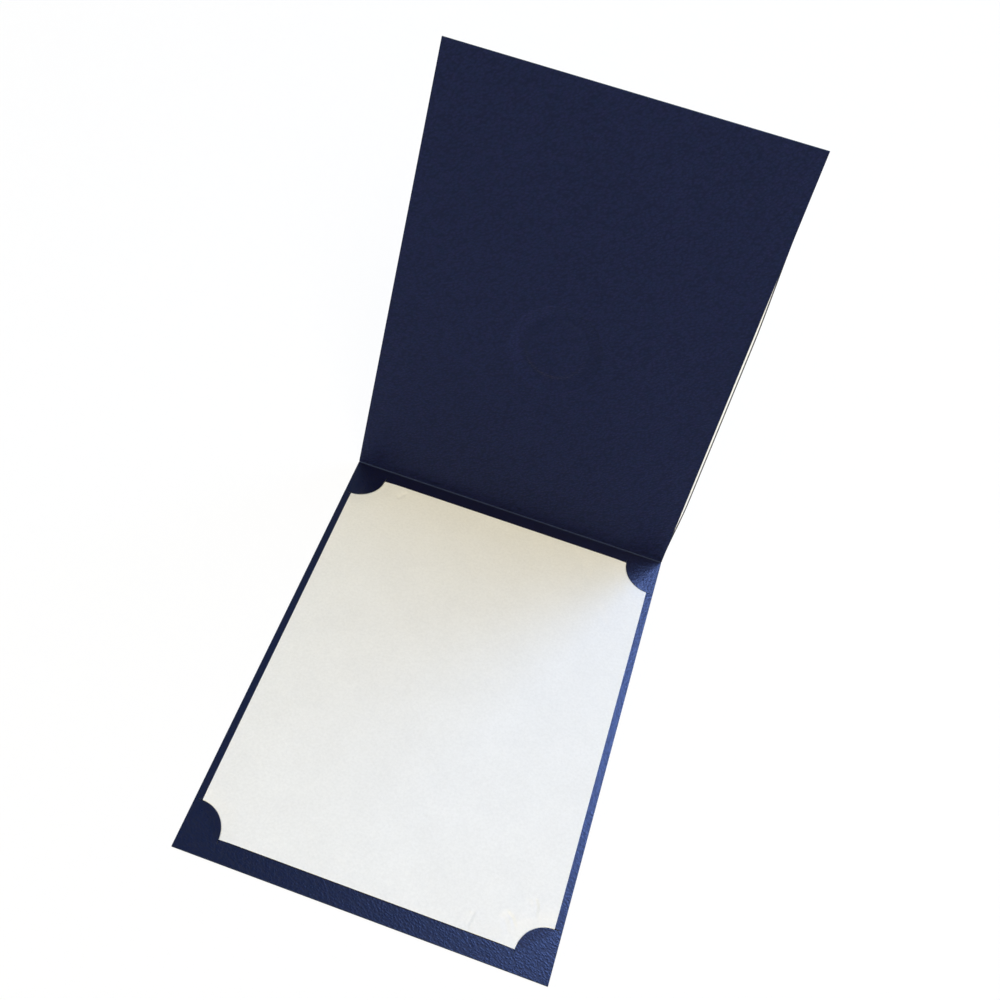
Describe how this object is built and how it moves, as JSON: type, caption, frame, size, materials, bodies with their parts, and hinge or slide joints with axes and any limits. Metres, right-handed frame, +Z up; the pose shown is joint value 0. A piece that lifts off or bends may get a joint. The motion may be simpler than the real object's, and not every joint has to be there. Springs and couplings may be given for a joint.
{
  "type": "certificate holder",
  "caption": "Card folder hinged along its short top edge, standing open, with a blank letter-size sheet held under four round corner tabs.",
  "frame": {"origin": "middle of the back cover's underside, the face that lies on the table", "axes": "+Z up out of the table, +Y from the front edge to the fold along the certificate's length, +X to the right of the certificate's reader"},
  "size_m": [0.2254, 0.389, 0.2908],
  "materials": {
    "outer_card": "leather-grain navy card, matt with a soft sheen",
    "inside_card": "leather-grain navy card, matt with a soft sheen",
    "certificate_paper": "uncoated blank paper, matt",
    "adhesive": "dried clear adhesive"
  },
  "bodies": {
    "base": {"back_cover": "outer_card", "inside_panel": "inside_card", "certificate_sheet": "certificate_paper", "fold_crease": "outer_card", "glue_strip_front": "adhesive", "glue_strip_fold": "adhesive", "glue_strip_left": "adhesive", "glue_strip_right": "adhesive"},
    "cover": {"front_cover": "outer_card", "front_liner": "inside_card", "cover_glue_fold": "adhesive", "cover_glue_far_edge": "adhesive", "cover_glue_left": "adhesive"},
    "tab_front_left": {"corner_tab_front_left": "inside_card"},
    "tab_front_right": {"corner_tab_front_right": "inside_card"},
    "tab_fold_left": {"corner_tab_fold_left": "inside_card"},
    "tab_fold_right": {"corner_tab_fold_right": "inside_card"}
  },
  "joints": [
    {"name": "cover_fold", "type": "hinge", "parent": "base", "child": "cover", "pos_m": [0, 0.1508, 0.0018], "axis": [-1, 0, 0], "range_deg": [-106.5, 73.4], "deforming": ["fold_crease"]},
    {"name": "tab_lift_front_left", "type": "hinge", "parent": "base", "child": "tab_front_left", "pos_m": [-0.10016, -0.13021, 0.00105], "axis": [0.7071, -0.7071, 0], "range_deg": [0, 7], "stiffness_Nm_per_rad": 0.02},
    {"name": "tab_lift_front_right", "type": "hinge", "parent": "base", "child": "tab_front_right", "pos_m": [0.10016, -0.13021, 0.00105], "axis": [0.7071, 0.7071, 0], "range_deg": [0, 7], "stiffness_Nm_per_rad": 0.02},
    {"name": "tab_lift_fold_left", "type": "hinge", "parent": "base", "child": "tab_fold_left", "pos_m": [-0.10016, 0.13361, 0.00105], "axis": [-0.7071, -0.7071, 0], "range_deg": [0, 7], "stiffness_Nm_per_rad": 0.02},
    {"name": "tab_lift_fold_right", "type": "hinge", "parent": "base", "child": "tab_fold_right", "pos_m": [0.10016, 0.13361, 0.00105], "axis": [-0.7071, 0.7071, 0], "range_deg": [0, 7], "stiffness_Nm_per_rad": 0.02}
  ]
}
